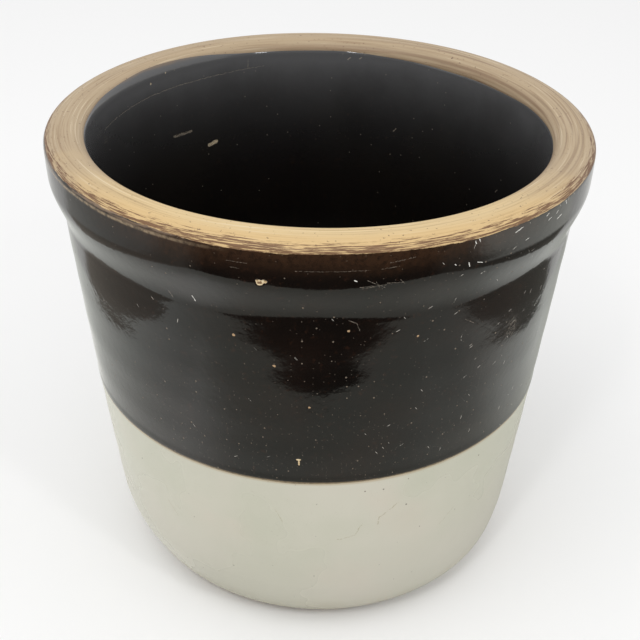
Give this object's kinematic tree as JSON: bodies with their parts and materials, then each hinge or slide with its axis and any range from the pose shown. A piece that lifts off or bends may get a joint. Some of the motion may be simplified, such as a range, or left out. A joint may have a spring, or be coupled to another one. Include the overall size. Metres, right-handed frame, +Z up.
{
  "type": "stoneware fermenting crock",
  "caption": "Open round stoneware crock with a bare flat rim, a raised collar, a slightly tapered wall and a rounded heel, dark glaze above and inside, pale glaze below.",
  "frame": {"origin": "centre of the circle the foot ring stands on, at the lowest point of the crock", "axes": "+Z up along the crock's turning axis, out of its mouth; X and Y are level and interchangeable"},
  "size_m": [0.262, 0.262, 0.2385],
  "materials": {
    "bare_stoneware": "matte",
    "dark_lining_glaze": "gloss",
    "dark_outer_glaze": "gloss",
    "pale_outer_glaze": "satin"
  },
  "bodies": {
    "root": {"stoneware_body": "bare_stoneware", "inner_glaze": "dark_lining_glaze", "upper_glaze": "dark_outer_glaze", "lower_glaze": "pale_outer_glaze"}
  },
  "joints": []
}
